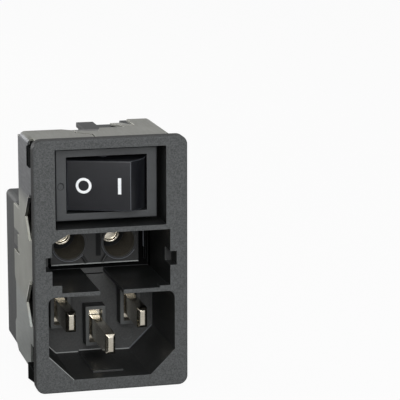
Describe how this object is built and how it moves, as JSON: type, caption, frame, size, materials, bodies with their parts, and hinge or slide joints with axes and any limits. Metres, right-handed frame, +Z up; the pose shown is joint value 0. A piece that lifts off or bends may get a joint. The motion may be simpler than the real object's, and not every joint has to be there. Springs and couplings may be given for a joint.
{
  "type": "power entry module",
  "caption": "Snap-in panel module with a recessed rocker switch, a fuse drawer bay, a three-pin mains inlet and a filter block with flat tabs behind.",
  "frame": {"origin": "centre of the flange's rear face, which seats on the panel", "axes": "+X right seen from the front, +Y to the rear through the panel, +Z up"},
  "size_m": [0.0308, 0.0421, 0.0488],
  "materials": {
    "housing_plastic": "spark-eroded matte",
    "case_plastic": "fine matte",
    "switch_plastic": "fine matte",
    "rocker_plastic": "satin",
    "shield_steel": "rolled sheet",
    "contact_metal": "bright tin plating",
    "spring_brass": "rolled",
    "board_laminate": "laminate",
    "ferrite": "sintered",
    "winding_copper": "enamelled copper",
    "film_case": "potted case",
    "disc_ceramic": "dipped ceramic",
    "resistor_coat": "lacquered",
    "label_film": "satin film"
  },
  "bodies": {
    "module": {"front_housing": "housing_plastic", "shield": "shield_steel", "filter_case": "case_plastic", "column_lid": "case_plastic", "switch_frame": "switch_plastic", "switch_base": "case_plastic", "blade_cradle_line": "contact_metal", "blade_cradle_neutral": "contact_metal", "load_tab_line": "contact_metal", "load_tab_neutral": "contact_metal", "line_pin": "contact_metal", "neutral_pin": "contact_metal", "earth_pin": "contact_metal", "fuse_cup_line": "contact_metal", "fuse_cup_neutral": "contact_metal", "fuse_leaf_line": "spring_brass", "fuse_leaf_neutral": "spring_brass", "earth_tab": "contact_metal", "filter_board": "board_laminate", "choke_core": "ferrite", "choke_winding_line": "winding_copper", "choke_winding_neutral": "winding_copper", "x_capacitor": "film_case", "y_capacitor_line": "disc_ceramic", "y_capacitor_neutral": "disc_ceramic", "bleed_resistor": "resistor_coat", "label": "label_film"},
    "rocker": {"rocker": "rocker_plastic", "plunger_line": "switch_plastic", "plunger_neutral": "switch_plastic"},
    "blade_line": {"contact_blade_line": "spring_brass"},
    "blade_neutral": {"contact_blade_neutral": "spring_brass"}
  },
  "joints": [
    {"name": "rocker_hinge", "type": "hinge", "parent": "module", "child": "rocker", "pos_m": [0, 0.00515, 0.01495], "axis": [0, 0, 1], "range_deg": [0, 38.4]},
    {"name": "blade_line_seesaw", "type": "hinge", "parent": "module", "child": "blade_line", "pos_m": [0, 0.0126, 0.01815], "axis": [0, 0, 1], "range_deg": [-12, 0]},
    {"name": "blade_neutral_seesaw", "type": "hinge", "parent": "module", "child": "blade_neutral", "pos_m": [0, 0.0126, 0.01175], "axis": [0, 0, 1], "range_deg": [-12, 0]}
  ],
  "couplings": [
    {"joint": "blade_line_seesaw", "follows": "rocker_hinge", "ratio": -0.3125},
    {"joint": "blade_neutral_seesaw", "follows": "rocker_hinge", "ratio": -0.3125}
  ]
}
